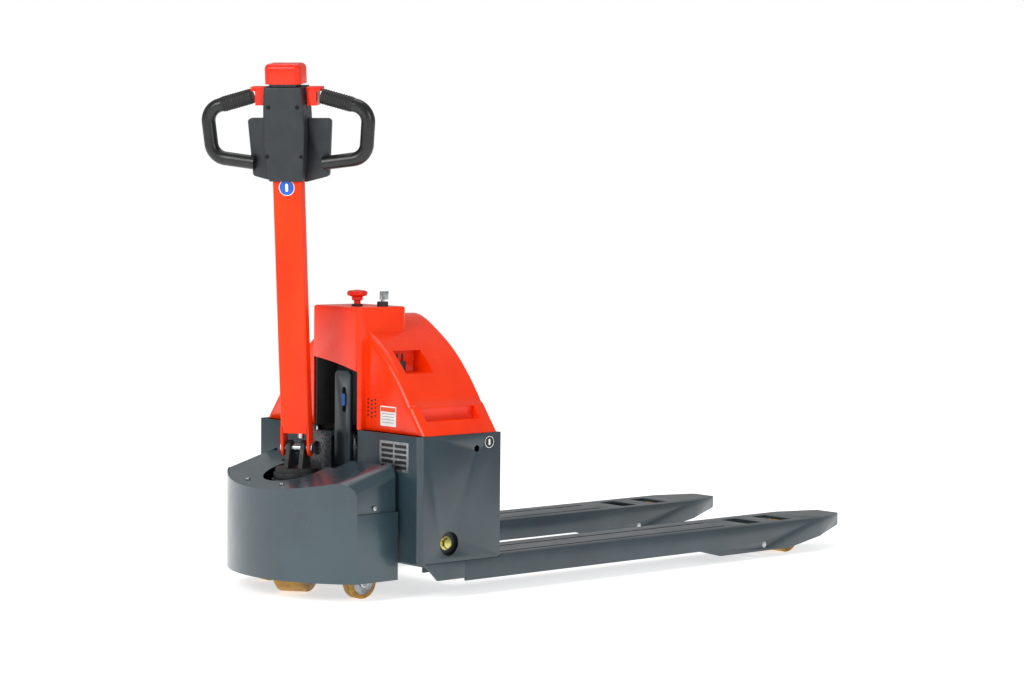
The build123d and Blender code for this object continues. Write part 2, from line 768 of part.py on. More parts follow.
# ---------------------------------------------------------------- forks
fork_root = heel_x - 94
pin_r = 8
fork_bottom = 34
heavy_bottom = 18
fork_inner = fork_width / 2 - fork_plate
root_top = lowered_height - sheet      # the fork steps down under the box floor
window_length = 50
window_width = 88
window_setbacks = (354, 249)   # fork tip back to the start of each window
groove_w = 9
groove_start = 25
groove_end = 425           # fork tip back to the end of the grooves
taper_setback = 130        # where the sides start to draw in
nose_outline = ((30, 39), (9, 21), (0, 8))   # back from the tip, half width there
nose_setback = 114         # where the underside rises to the tip
heavy_front = 238          # the deep part that holds the wheel, from the tip
heavy_rear = 473
heavy_start = 540
for side, sign in sides:
    y = sign * fork_y
    with BuildPart() as fork:
        with BuildSketch(along(y)):
            with BuildLine():
                Polyline(
                    (fork_root, fork_bottom),
                    (fork_root, root_top),
                    (heel_x, root_top),
                    (heel_x, lowered_height),
                    (tip_x - 22, lowered_height),
                    (tip_x, lowered_height - 12),
                    (tip_x - 6, lowered_height - 24),
                    (tip_x - nose_setback, 40),
                    (tip_x - heavy_front, heavy_bottom),
                    (tip_x - heavy_rear, heavy_bottom),
                    (tip_x - heavy_start, fork_bottom),
                    close=True,
                )
            make_face()
        extrude(amount=fork_width / 2, both=True)
        with BuildSketch(Plane.XY):
            with BuildLine():
                Polyline(
                    (fork_root, y - fork_width / 2),
                    (tip_x - taper_setback, y - fork_width / 2),
                    *[(tip_x - back, y - half) for back, half in nose_outline],
                    *[(tip_x - back, y + half) for back, half in reversed(nose_outline)],
                    (tip_x - taper_setback, y + fork_width / 2),
                    (fork_root, y + fork_width / 2),
                    close=True,
                )
            make_face()
        extrude(amount=lowered_height, mode=Mode.INTERSECT)
        for start, top in ((fork_root, root_top), (heel_x + fork_plate, lowered_height)):
            with Locations((start, y, top - fork_plate)):
                Box(tip_x - taper_setback - 8 - start, 2 * fork_inner, lowered_height,
                    align=(Align.MIN, Align.CENTER, Align.MAX), mode=Mode.SUBTRACT)
        for setback in window_setbacks:
            with Locations((tip_x - setback, y, lowered_height)):
                Box(window_length, window_width, 30, align=(Align.MIN, Align.CENTER, Align.CENTER),
                    mode=Mode.SUBTRACT)
        for offset in (-38, 30):
            with Locations((heel_x + groove_start, y + offset, lowered_height)):
                Box(fork_length - groove_start - groove_end, groove_w, 3,
                    align=(Align.MIN, Align.CENTER, Align.CENTER), mode=Mode.SUBTRACT)
        with BuildSketch(along(y)):
            with Locations((pivot_x, arm_pivot_z)):
                Circle(pin_r)
        extrude(amount=fork_width, both=True, mode=Mode.SUBTRACT)
    fork.part.label = f"{side}_fork"
    export_step(fork.part, f"parts/{side}_fork.step")

# Welded plates that carry each fork under the battery box.
plate_t = 6
with BuildPart() as heel_plates:
    for sign in (-1, 1):
        with BuildSketch(along(sign * (half_width - plate_t / 2))):
            with BuildLine():
                Polyline((heel_x - 206, root_top), (heel_x - 170, 40), (fork_root - clearance, 40),
                         (fork_root - clearance, root_top), close=True)
            make_face()
        extrude(amount=plate_t / 2, both=True)
    with Locations((fork_root - 20, 0, root_top - 12)):
        Box(30, overall_width - 2 * plate_t, 24)
    with Locations((fork_root - 20, 0, 60)):
        Box(80, 2 * mast_half + 8, 90, mode=Mode.SUBTRACT)
heel_plates.part.label = "heel_plates"
export_step(heel_plates.part, "parts/heel_plates.step")

# Battery box: one folded sheet round four sides with a floor for the batteries.
box_bottom = root_top + clearance
port_r = 25
port_x, port_z = heel_x - 140, 116
eye_r = 7
eye_x, eye_z = heel_x - 66, 311
post_w = 12                # struts from the box floor to the lift crosshead
post_d = 30
post_y = recess_half + 14
with BuildPart() as battery_box:
    with BuildSketch(Plane.XY.offset(box_bottom)):
        with Locations(((box_front + heel_x) / 2, 0)):
            Rectangle(box_depth, overall_width)
    extrude(amount=box_top - box_bottom)
    fillet(battery_box.edges().filter_by(Axis.Z).group_by(Axis.X)[0], box_bend)
    rear_edges = battery_box.faces().sort_by(Axis.X)[-1].edges().filter_by(Axis.Y)
    fillet(rear_edges.sort_by(Axis.Z)[0], sheet + clearance)
    with Locations(((box_front + heel_x) / 2, 0, box_bottom + sheet)):
        Box(box_depth - 2 * sheet, overall_width - 2 * sheet, box_top,
            align=(Align.CENTER, Align.CENTER, Align.MIN), mode=Mode.SUBTRACT)
    with Locations((box_front, 0, box_bottom - 1)):
        Box(box_depth - 30, 2 * recess_half, box_top, align=(Align.MIN, Align.CENTER, Align.MIN),
            mode=Mode.SUBTRACT)
    for sign in (-1, 1):
        with BuildSketch(along(sign * half_width)):
            with Locations((port_x, port_z)):
                Circle(port_r)
            with Locations((eye_x, eye_z)):
                Circle(eye_r)
        extrude(amount=2 * sheet, both=True, mode=Mode.SUBTRACT)
    with Locations((cylinder_x, 0, rod_top + 6)):
        Box(post_d, 2 * recess_half + 40, post_w)
    for sign in (-1, 1):
        with Locations((cylinder_x, sign * post_y, box_bottom)):
            Box(post_d, post_w, rod_top + post_w - box_bottom, align=(Align.CENTER, Align.CENTER, Align.MIN))
battery_box.part.label = "battery_box"
export_step(battery_box.part, "parts/battery_box.step")

# ---------------------------------------------------------------- hood
hood_wall = 4
hood_corner = 16           # rounding of the hood's front edges
# Places down the barrel: share of the half width, fall below the ridge.
barrel_drops = ((0.276, 31), (0.459, 66), (0.638, 114))
stop_x, stop_y = heel_x - 178, -14
key_x, key_y = heel_x - 142, -56
collar_r = 12
hood_rear = heel_x - 10
hood_front = box_front + 16
nose_front = box_front - 4
nose_rear = heel_x - 96
ledge = box_top + 58
flank = half_width - 3
pocket_x = heel_x - 177
pocket_length = 75
pocket_height = 46
pocket_floor = 466
pocket_back = 112
pocket_depth = 120
liner = 3                  # wall round the pocket and the hand hold
grip_back = flank - 54
grip_x = heel_x - 184
grip_length_side = 147
grip_low = box_top + 28
grip_high = box_top + 54
grip_depth = 80


def hood_section(inset):
    """Half-barrel section of the hood over the battery box, set in by a wall."""
    with BuildSketch(across(hood_front + inset)) as section:
        with BuildLine():
            top = hood_saddle - inset
            ledge_half = flank - 44 - inset
            barrel = [(shoulder_y * flank, top - drop) for shoulder_y, drop in barrel_drops]
            crown = Spline((ledge_half - 6, ledge + 3), *reversed(barrel), (0, top),
                           *[(-y, z) for y, z in barrel], (-ledge_half + 6, ledge + 3))
            Polyline(crown @ 1, (-ledge_half, ledge), (-flank + inset, box_top + clearance),
                     (flank - inset, box_top + clearance), (ledge_half, ledge), crown @ 0)
        make_face()
    return section.sketch


# Walls round the plug pocket and the hand hold, trimmed to the outside of the hood.
with BuildPart() as hood_liner:
    with Locations((pocket_x - liner, -pocket_back + liner, pocket_floor - liner)):
        Box(pocket_length + 2 * liner, pocket_depth, pocket_height + 2 * liner,
            align=(Align.MIN, Align.MAX, Align.MIN))
    with Locations((grip_x - liner, -grip_back, grip_low - liner)):
        Box(grip_length_side + 2 * liner, grip_depth, grip_high - grip_low + 2 * liner,
            align=(Align.MIN, Align.MAX, Align.MIN))
    extrude(hood_section(0), amount=hood_rear - hood_front, mode=Mode.INTERSECT)


def hood_barrel(inset):
    """Solid of the hood's barrel with rounded front edges, set in by a wall."""
    with BuildPart() as barrel_part:
        extrude(hood_section(inset), amount=hood_rear - hood_front - 2 * inset)
        front_edges = barrel_part.faces().sort_by(Axis.X)[0].edges()
        fillet(front_edges.filter_by(lambda e: e.center().Z > box_top + 3), hood_corner)
    return barrel_part.part


mouth_half = recess_half + 2
mouth_low = box_top - 5
hood_outside = hood_barrel(0)
hood_inside = hood_barrel(hood_wall)

with BuildPart() as hood:
    add(hood_outside)
    with BuildSketch(Plane.XY.offset(box_top + clearance)):
        with Locations(((nose_front + nose_rear) / 2, 0)):
            RectangleRounded(nose_rear - nose_front, 2 * hood_nose_half, 10)
    extrude(amount=hood_top - box_top - clearance)
    fillet(hood.faces().filter_by(Axis.Z).sort_by(Axis.Z)[-1].edges(), 6)
    add(hood_inside, mode=Mode.SUBTRACT)
    with Locations(((nose_front + nose_rear) / 2, 0, box_top - 1)):
        Box(nose_rear - nose_front - 2 * hood_wall, 2 * hood_nose_half - 2 * hood_wall,
            hood_top - box_top - hood_wall + 1,
            align=(Align.CENTER, Align.CENTER, Align.MIN), mode=Mode.SUBTRACT)
    with BuildSketch(across(nose_front - 5)):
        with BuildLine():
            Polyline((-mouth_half, mouth_low), (mouth_half, mouth_low), (mouth_half, recess_top + 12))
            Spline((mouth_half, recess_top + 12), (0, recess_top + 2), (-mouth_half, recess_top - 14))
            Line((-mouth_half, recess_top - 14), (-mouth_half, mouth_low))
        make_face()
    extrude(amount=14, mode=Mode.SUBTRACT)
    add(hood_liner.part)
    with Locations((pocket_x, -pocket_back, pocket_floor)):
        Box(pocket_length, pocket_depth, pocket_height,
            align=(Align.MIN, Align.MAX, Align.MIN), mode=Mode.SUBTRACT)
    with Locations((grip_x, -grip_back - liner, grip_low)):
        Box(grip_length_side, grip_depth, grip_high - grip_low,
            align=(Align.MIN, Align.MAX, Align.MIN), mode=Mode.SUBTRACT)
    with Locations((stop_x, stop_y, hood_top), (key_x, key_y, hood_top)):
        Cylinder(collar_r + clearance, 30, mode=Mode.SUBTRACT)
hood.part.label = "hood"
export_step(hood.part, "parts/hood.step")

# Black well behind the tiller, open to the front.
well_front = nose_front + hood_wall + clearance
well_rear = box_front + 60
well_top = max(recess_top + 16, mast_top + 12)
well_outer = recess_half - clearance
well_inner = well_outer - 4
with BuildPart() as recess_panel:
    with Locations((well_front, 0, box_top + clearance)):
        Box(well_rear - well_front, 2 * well_outer, well_top - box_top - clearance,
            align=(Align.MIN, Align.CENTER, Align.MIN))
    with Locations((nose_front, 0, box_top - 1)):
        Box(well_rear - nose_front - hood_wall, 2 * well_inner, well_top - hood_wall - box_top + 1,
            align=(Align.MIN, Align.CENTER, Align.MIN), mode=Mode.SUBTRACT)
recess_panel.part.label = "recess_panel"
export_step(recess_panel.part, "parts/recess_panel.step")

# Two starter-type batteries, one each side of the mast.
battery_length = 164
battery_gap = 8            # battery to the wall of the box
battery_inner = recess_half + 28
battery_width = half_width - sheet - battery_gap - battery_inner
battery_height = 205
battery_y = battery_inner + battery_width / 2
with BuildPart() as batteries:
    for side, sign in sides:
        with Locations((heel_x - sheet - 4 - battery_length / 2, sign * battery_y,
                        box_bottom + sheet + battery_height / 2)):
            Box(battery_length, battery_width, battery_height)
        for x in (-50, 50):
            with Locations((heel_x - 90 + x, sign * battery_y, box_bottom + sheet + battery_height + 6)):
                Cylinder(9, 12)
batteries.part.label = "batteries"
export_step(batteries.part, "parts/batteries.step")

with BuildPart() as controller:
    with Locations((heel_x - 80, 0, hood_saddle - 70)):
        Box(100, 120, 44)
controller.part.label = "controller"
export_step(controller.part, "parts/controller.step")

with BuildPart() as charger:
    with Locations((heel_x - 60, 0, 430)):
        Box(84, 190, 70)
charger.part.label = "charger"
export_step(charger.part, "parts/charger.step")

# Emergency stop: collar in the hood, red mushroom that pushes down into it.
stop_travel = 6
collar_low = hood_top - 22
collar_high = hood_top + 4
stem_bore_r = 7.5
with BuildPart() as stop_collar:
    with BuildSketch(Plane.XY.offset(collar_low)):
        with Locations((stop_x, stop_y)):
            Circle(collar_r)
            Circle(stem_bore_r, mode=Mode.SUBTRACT)
    extrude(amount=collar_high - collar_low)
stop_collar.part.label = "stop_collar"
export_step(stop_collar.part, "parts/stop_collar.step")

cap_low = collar_high + stop_travel + 2
cap_rim_r = 22
stem_side = stop_x + stem_bore_r - 0.1
with BuildPart() as stop_button:
    with BuildSketch(along(stop_y)):
        with BuildLine():
            base = hood_top - 12
            Polyline((stop_x, base), (stem_side, base), (stem_side, cap_low), (stop_x + 12, cap_low),
                     (stop_x + 12, cap_low + 8), (stop_x + 20, cap_low + 10))
            ThreePointArc((stop_x + 20, cap_low + 10), (stop_x + cap_rim_r, cap_low + 16),
                          (stop_x + 17, cap_low + 21))
            Polyline((stop_x + 17, cap_low + 21), (stop_x, cap_low + 23), (stop_x, base))
        make_face()
    revolve(axis=Axis((stop_x, stop_y, 0), (0, 0, 1)))
stop_button.part.label = "stop_button"
export_step(stop_button.part, "parts/stop_button.step")

key_r = 4
with BuildPart() as key_switch:
    with BuildSketch(Plane.XY.offset(hood_top - 24)):
        with Locations((key_x, key_y)):
            Circle(collar_r)
            Circle(key_r + 0.2, mode=Mode.SUBTRACT)
    extrude(amount=34)
key_switch.part.label = "key_switch"
export_step(key_switch.part, "parts/key_switch.step")

with BuildPart() as ignition_key:
    with Locations((key_x, key_y, hood_top + 2)):
        Cylinder(key_r, 26)
    with Locations((key_x + 4, key_y, hood_top + 23)):
        Box(22, 3, 18)
ignition_key.part.label = "ignition_key"
export_step(ignition_key.part, "parts/ignition_key.step")

# Charging plug parked in the pocket, pins up.
plug_x, plug_y = pocket_x + 20, -pocket_back - 22
plug_height = 24
with BuildPart() as charger_plug:
    with Locations((plug_x, plug_y, pocket_floor + clearance)):
        Cylinder(13, plug_height, align=(Align.CENTER, Align.CENTER, Align.MIN))
    for x in (-7, 7):
        with Locations((plug_x + x, plug_y, pocket_floor + plug_height)):
            Cylinder(2.4, 16, align=(Align.CENTER, Align.CENTER, Align.MIN))
charger_plug.part.label = "charger_plug"
export_step(charger_plug.part, "parts/charger_plug.step")

# ---------------------------------------------------------------- load wheels
arm_half = load_wheel_w / 2 + 3
arm_wall = 8
lever = 30
boss_r = 12
axle_boss_r = 13
load_tyre_wall = 10
with BuildPart() as arm_pins:
    for side, sign in sides:
        with Locations((pivot_x, sign * fork_y, arm_pivot_z)):
            Cylinder(pin_r, fork_width - 2, rotation=(90, 0, 0))
arm_pins.part.label = "arm_pins"
export_step(arm_pins.part, "parts/arm_pins.step")

for side, sign in sides:
    y = sign * fork_y
    with BuildPart() as load_arm:
        for cheek in (-1, 1):
            with BuildSketch(along(y + cheek * (arm_half + arm_wall / 2))):
                with BuildLine():
                    Polyline((pivot_x, arm_pivot_z + boss_r), (wheel_x, load_r + axle_boss_r),
                             (wheel_x, load_r - axle_boss_r), (pivot_x, arm_pivot_z - boss_r), close=True)
                make_face()
                with Locations((pivot_x, arm_pivot_z)):
                    Circle(boss_r)
                with Locations((wheel_x, load_r)):
                    Circle(axle_boss_r)
                    Circle(load_axle_d / 2, mode=Mode.SUBTRACT)
                with Locations((pivot_x, arm_pivot_z)):
                    Circle(pin_r + running, mode=Mode.SUBTRACT)
            extrude(amount=arm_wall / 2, both=True)
        with Locations((pivot_x, y, arm_pivot_z)):
            Cylinder(boss_r, 2 * arm_half, rotation=(90, 0, 0))
            Cylinder(pin_r + running, 2 * arm_half + 40, rotation=(90, 0, 0), mode=Mode.SUBTRACT)
        with Locations((pivot_x - boss_r, y, arm_pivot_z + lever / 2 + 3)):
            Box(12, 26, lever - 6)
    load_arm.part.label = f"{side}_load_arm"
    export_step(load_arm.part, f"parts/{side}_load_arm.step")

    with BuildPart() as load_hub:
        with Locations((wheel_x, y, load_r)):
            Cylinder(load_r - load_tyre_wall, load_wheel_w, rotation=(90, 0, 0))
            Cylinder(load_axle_d / 2 + running, load_wheel_w, rotation=(90, 0, 0), mode=Mode.SUBTRACT)
    load_hub.part.label = f"{side}_load_hub"
    export_step(load_hub.part, f"parts/{side}_load_hub.step")

    with BuildPart() as load_tyre:
        with Locations((wheel_x, y, load_r)):
            Cylinder(load_r, load_wheel_w, rotation=(90, 0, 0))
            Cylinder(load_r - load_tyre_wall, load_wheel_w, rotation=(90, 0, 0), mode=Mode.SUBTRACT)
        fillet(load_tyre.edges().filter_by(GeomType.CIRCLE).sort_by(SortBy.RADIUS)[-2:], 3)
    load_tyre.part.label = f"{side}_load_tyre"
    export_step(load_tyre.part, f"parts/{side}_load_tyre.step")

with BuildPart() as load_axles:
    for side, sign in sides:
        with Locations((wheel_x, sign * fork_y, load_r)):
            Cylinder(load_axle_d / 2, 2 * (arm_half + arm_wall), rotation=(90, 0, 0))
load_axles.part.label = "load_axles"
export_step(load_axles.part, "parts/load_axles.step")

# Push rods that swing the arms down as the frame rises.
rod_front = pivot_x - 28
rod_rear = fork_root + 30
with BuildPart() as push_rods:
    for side, sign in sides:
        with Locations(((rod_front + rod_rear) / 2, sign * fork_y, arm_pivot_z + 28)):
            Box(rod_front - rod_rear, 20, 12)
push_rods.part.label = "push_rods"
export_step(push_rods.part, "parts/push_rods.step")
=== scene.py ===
import json
import math

import bmesh
import bpy
from mathutils import Matrix, Vector

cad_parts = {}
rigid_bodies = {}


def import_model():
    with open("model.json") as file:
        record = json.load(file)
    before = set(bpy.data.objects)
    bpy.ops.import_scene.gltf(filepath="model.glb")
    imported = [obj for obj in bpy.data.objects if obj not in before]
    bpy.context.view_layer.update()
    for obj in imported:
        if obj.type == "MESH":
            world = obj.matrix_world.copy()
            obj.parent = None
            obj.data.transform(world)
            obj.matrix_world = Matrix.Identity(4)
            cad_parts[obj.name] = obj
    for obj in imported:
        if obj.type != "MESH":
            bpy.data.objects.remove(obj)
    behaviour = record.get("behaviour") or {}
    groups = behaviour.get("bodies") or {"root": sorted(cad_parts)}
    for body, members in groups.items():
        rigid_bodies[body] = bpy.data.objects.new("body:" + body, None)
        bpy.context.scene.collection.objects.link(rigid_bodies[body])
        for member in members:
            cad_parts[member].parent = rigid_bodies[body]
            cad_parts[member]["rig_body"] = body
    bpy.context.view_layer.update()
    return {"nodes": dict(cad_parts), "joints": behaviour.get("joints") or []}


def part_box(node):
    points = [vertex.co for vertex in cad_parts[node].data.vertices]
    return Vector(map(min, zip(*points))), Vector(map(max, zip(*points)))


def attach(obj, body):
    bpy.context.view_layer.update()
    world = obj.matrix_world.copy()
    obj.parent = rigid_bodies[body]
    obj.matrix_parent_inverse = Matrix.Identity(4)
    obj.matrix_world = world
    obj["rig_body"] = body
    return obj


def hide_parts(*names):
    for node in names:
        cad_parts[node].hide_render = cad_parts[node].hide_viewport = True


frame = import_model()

MM = 0.001

# ---------------------------------------------------------------- forks and their frame
# Two pressed steel forks, the heel plates that carry them and the folded battery box.
# All are welded up, shot-blasted and coated in one dark charcoal powder paint.


def srgb(colour):
    """Linear colour of an sRGB hex value."""
    parts = [int(colour[i:i + 2], 16) / 255 for i in (1, 3, 5)]
    return [c / 12.92 if c <= 0.04045 else ((c + 0.055) / 1.055) ** 2.4 for c in parts] + [1.0]


def add_node(tree, kind, inputs=None, **settings):
    """Adds a node with its settings, and gives each input a value or a link."""
    made = tree.nodes.new(kind)
    for name, value in settings.items():
        setattr(made, name, value)
    for name, value in (inputs or {}).items():
        if isinstance(value, bpy.types.NodeSocket):
            tree.links.new(value, made.inputs[name])
        else:
            made.inputs[name].default_value = value
    return made


def per_mm(size):
    """Texture scale that makes a feature of about this many millimetres."""
    return 1000.0 / size


def coloured_noise(tree, place, grain_mm, dark, light, low=0.35, high=0.65, detail=4.0):
    """Noise of a real grain size between two colours."""
    noise = add_node(tree, "ShaderNodeTexNoise", {
        "Vector": place, "Scale": per_mm(grain_mm), "Detail": detail})
    ramp = add_node(tree, "ShaderNodeValToRGB", {"Fac": noise.outputs["Fac"]})
    ramp.color_ramp.elements[0].position = low
    ramp.color_ramp.elements[0].color = srgb(dark)
    ramp.color_ramp.elements[1].position = high
    ramp.color_ramp.elements[1].color = srgb(light)
    return ramp.outputs["Color"]


def surface(name, dark, light, patch_mm, grain_mm, bump_mm, rough_low, rough_high, **constants):
    """Finish with slow colour patches, a fine grain and a roughness that varies with it."""
    material = bpy.data.materials.new(name)
    material.use_nodes = True
    tree = material.node_tree
    tree.nodes.clear()
    place = add_node(tree, "ShaderNodeTexCoord").outputs["Object"]
    colour = coloured_noise(tree, place, patch_mm, dark, light)
    grain = add_node(tree, "ShaderNodeTexNoise", {
        "Vector": place, "Scale": per_mm(grain_mm), "Detail": 5.0})
    scuffs = add_node(tree, "ShaderNodeTexNoise", {
        "Vector": place, "Scale": per_mm(patch_mm * 0.4), "Detail": 8.0})
    rough = add_node(tree, "ShaderNodeMapRange", {
        "Value": scuffs.outputs["Fac"], "From Min": 0.3, "From Max": 0.7,
        "To Min": rough_low, "To Max": rough_high})
    bump = add_node(tree, "ShaderNodeBump", {
        "Height": grain.outputs["Fac"], "Strength": 0.35, "Distance": bump_mm * MM})
    shader = add_node(tree, "ShaderNodeBsdfPrincipled", {
        "Base Color": colour, "Roughness": rough.outputs["Result"], "Normal": bump.outputs["Normal"]})
    for socket, value in constants.items():
        shader.inputs[socket.replace("_", " ")].default_value = value
    add_node(tree, "ShaderNodeOutputMaterial", {"Surface": shader.outputs["BSDF"]})
    return material


def finished(node, edge, finish, turn_limit=38):
    """Rebuilds a CAD piece as one clean skin with softened edges of the given width in mm."""
    mesh = frame["nodes"][node].data.copy()
    mesh.materials.clear()
    shape = bmesh.new()
    shape.from_mesh(mesh)
    bmesh.ops.remove_doubles(shape, verts=shape.verts, dist=1e-5)
    bmesh.ops.dissolve_limit(shape, angle_limit=math.radians(0.4), verts=shape.verts, edges=shape.edges)
    shape.to_mesh(mesh)
    shape.free()
    raw = bpy.data.objects.new("raw", mesh)
    bpy.context.scene.collection.objects.link(raw)
    bevel = raw.modifiers.new("edges", "BEVEL")
    bevel.width = edge * MM
    bevel.segments = 2
    bevel.limit_method = "ANGLE"
    bevel.angle_limit = math.radians(turn_limit)
    bevel.use_clamp_overlap = True
    shading = raw.modifiers.new("even_faces", "WEIGHTED_NORMAL")
    shading.keep_sharp = True
    return settle(raw, node + ".skin", frame["nodes"][node]["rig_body"], finish, node)


def settle(raw, name, body, finish, node=None):
    """Turns an object with modifiers into a plain shaded mesh that rides on its body."""
    view = bpy.context.evaluated_depsgraph_get()
    mesh = bpy.data.meshes.new_from_object(raw.evaluated_get(view))
    bpy.data.objects.remove(raw)
    for face in mesh.polygons:
        face.use_smooth = True
    mesh.set_sharp_from_angle(angle=math.radians(40))
    if not mesh.materials:
        mesh.materials.append(finish)
    piece = bpy.data.objects.new(name, mesh)
    bpy.context.scene.collection.objects.link(piece)
    if node:
        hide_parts(node)
    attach(piece, body)
    return piece


# Powder coat: cured paint with a fine orange-peel skin, a satin sheen and no metal showing.
charcoal = surface("charcoal_powder_coat", "#1D2D35", "#243841", 120, 1.6, 0.05, 0.32, 0.44,
                   Coat_Weight=0.5, Coat_Roughness=0.22)
for fork_node in ("left_fork", "right_fork"):
    finished(fork_node, 1.6, charcoal)
finished("heel_plates", 1.0, charcoal)
finished("battery_box", 1.0, charcoal)

# ---------------------------------------------------------------- weld beads
# MIG fillet welds where each fork root meets its heel plate: a row of overlapped ripples,
# painted over with the same coat.


def ripple_tree():
    """Geometry Nodes tree: overlapped ripples along a straight seam."""
    tree = bpy.data.node_groups.new("weld_ripples", "GeometryNodeTree")
    face = tree.interface
    face.new_socket("Geometry", in_out="OUTPUT", socket_type="NodeSocketGeometry")
    for name, kind in (("Start", "Vector"), ("End", "Vector"), ("Count", "Int"), ("Radius", "Float"),
                       ("Finish", "Material")):
        face.new_socket(name, in_out="INPUT", socket_type="NodeSocket" + kind)
    given = add_node(tree, "NodeGroupInput").outputs
    line = add_node(tree, "GeometryNodeMeshLine", {
        "Count": given["Count"], "Start Location": given["Start"], "Offset": given["End"]},
        mode="END_POINTS")
    ripple = add_node(tree, "GeometryNodeMeshIcoSphere", {"Radius": given["Radius"], "Subdivisions": 2})
    size = add_node(tree, "FunctionNodeRandomValue", {
        "Min": (0.8, 0.8, 0.8), "Max": (1.0, 1.0, 1.0), "Seed": 4}, data_type="FLOAT_VECTOR")
    spread = add_node(tree, "GeometryNodeInstanceOnPoints", {
        "Points": line.outputs["Mesh"], "Instance": ripple.outputs["Mesh"], "Scale": size.outputs["Value"]})
    real = add_node(tree, "GeometryNodeRealizeInstances", {"Geometry": spread.outputs["Instances"]})
    painted = add_node(tree, "GeometryNodeSetMaterial", {
        "Geometry": real.outputs["Geometry"], "Material": given["Finish"]})
    add_node(tree, "NodeGroupOutput", {"Geometry": painted.outputs["Geometry"]})
    return tree


def grown(tree, values, name, body):
    """Runs a tree with its inputs, and keeps the result as a plain mesh on a body."""
    raw = bpy.data.objects.new("raw", bpy.data.meshes.new("raw"))
    bpy.context.scene.collection.objects.link(raw)
    modifier = raw.modifiers.new("grow", "NODES")
    modifier.node_group = tree
    for item in tree.interface.items_tree:
        if item.in_out == "INPUT" and item.name in values:
            modifier[item.identifier] = values[item.name]
    return settle(raw, name, body, values["Finish"])


weld_r = 2.6 * MM
weld_margin = 4 * MM
ripples = ripple_tree()
plates_low, plates_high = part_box("heel_plates")
for side, sign in (("left", 1), ("right", -1)):
    root_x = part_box(side + "_fork")[0].x
    seam_y = sign * (plates_high.y - weld_r)
    bead = grown(ripples, {
        "Start": (root_x, seam_y, plates_low.z + weld_margin),
        "End": (root_x, seam_y, plates_high.z - weld_margin),
        "Count": 17, "Radius": weld_r, "Finish": charcoal}, side + "_fork_weld", "fork_frame")

# ---------------------------------------------------------------- drive cover
# A bowed steel front plate folded back along both sides, and a sloping top sheet with
# pressed shoulders. Same charcoal paint, a little smoother on the wide plate.
cover_paint = surface("smooth_powder_coat", "#2A3C44", "#324750", 160, 2.2, 0.03, 0.26, 0.36,
                      Coat_Weight=0.5, Coat_Roughness=0.16)
finished("bumper_plate", 1.0, cover_paint)
finished("top_cover", 0.8, cover_paint)
finished("drive_frame", 1.2, charcoal)

# ---------------------------------------------------------------- screws and pins
# Zinc-plated steel: the cover screws, pivot pins, axles, lift rod, key and push rods.
# Electroplated zinc is bright, faintly blue and cloudy, with fine grain under the plating.
zinc = surface("bright_zinc_plate", "#9FA4A8", "#C4C8CB", 9, 0.8, 0.03, 0.24, 0.42, Metallic=1.0)
for pin_node in ("cover_bolts", "tiller_pin", "arm_pins", "load_axles", "ignition_key", "lift_rod",
                 "push_rods", "spring_rod"):
    finished(pin_node, 0.5, zinc)

# ---------------------------------------------------------------- wheels
# Amber cast polyurethane tyres on machined steel hubs, in folded steel caster forks.
# The polyurethane is slightly translucent, with dust worked into its tread.
polyurethane = surface("cast_polyurethane", "#8F6A1E", "#B98A2C", 14, 0.9, 0.05, 0.38, 0.6, IOR=1.5,
                       Subsurface_Weight=0.12)
hub_steel = surface("machined_hub_steel", "#7C8083", "#A3A7AA", 12, 0.6, 0.02, 0.3, 0.45, Metallic=1.0)
for tyre_node in ("drive_tyre", "left_load_tyre", "right_load_tyre", "left_caster_tyre", "right_caster_tyre"):
    finished(tyre_node, 0.6, polyurethane, 60)
for hub_node in ("drive_hub", "left_load_hub", "right_load_hub", "left_caster_hub", "right_caster_hub"):
    finished(hub_node, 0.8, hub_steel)
for side in ("left", "right"):
    finished(side + "_caster_fork", 0.6, zinc)
    finished(side + "_load_arm", 1.0, charcoal)

# ---------------------------------------------------------------- drive unit
# Cast and turned parts of the steered drive head, painted black over a sand-cast skin.
casting = surface("black_painted_casting", "#141617", "#212426", 30, 1.4, 0.2, 0.42, 0.62)
for cast_node in ("drive_gearbox", "traction_motor", "drive_brake", "tiller_clevis"):
    finished(cast_node, 0.9, casting)
for ground_node in ("steer_bearing", "lift_cylinder", "gas_spring"):
    finished(ground_node, 0.6, hub_steel)

# Pump block and motor: die-cast aluminium, grey and speckled, not painted.
die_cast = surface("die_cast_aluminium", "#4A4D4F", "#8A8D8F", 3.0, 1.0, 0.15, 0.4, 0.6, Metallic=0.7)
for pump_node in ("pump_block", "pump_motor"):
    finished(pump_node, 0.8, die_cast)

# ---------------------------------------------------------------- hood
# Orange-red moulded ABS hood over the batteries, high gloss with a faint mould ripple.
gloss_orange = surface("orange_gloss_abs", "#F03000", "#F83800", 90, 14.0, 0.06, 0.2, 0.3, Coat_Weight=0.15,
                       Coat_Roughness=0.06, Specular_IOR_Level=0.3)
finished("hood", 1.2, gloss_orange, 45)

# ---------------------------------------------------------------- black mouldings
# The well, the internal boxes and the plug are black ABS with a fine spark-eroded texture.
black_abs = surface("textured_black_abs", "#17191B", "#222527", 22, 0.9, 0.12, 0.45, 0.6)
for moulded_node in ("recess_panel", "batteries", "controller", "charger", "charger_plug", "stop_collar",
                     "key_switch", "oil_tank"):
    finished(moulded_node, 0.8, black_abs)

# Red thermoplastic of the emergency stop, the safety button and the drive rocker.
red_plastic = surface("red_gloss_plastic", "#E02000", "#F02C00", 40, 8.0, 0.03, 0.24, 0.34, Coat_Weight=0.1,
                      Specular_IOR_Level=0.3)
for red_node in ("stop_button", "belly_button", "throttle_rocker"):
    finished(red_node, 1.2, red_plastic)

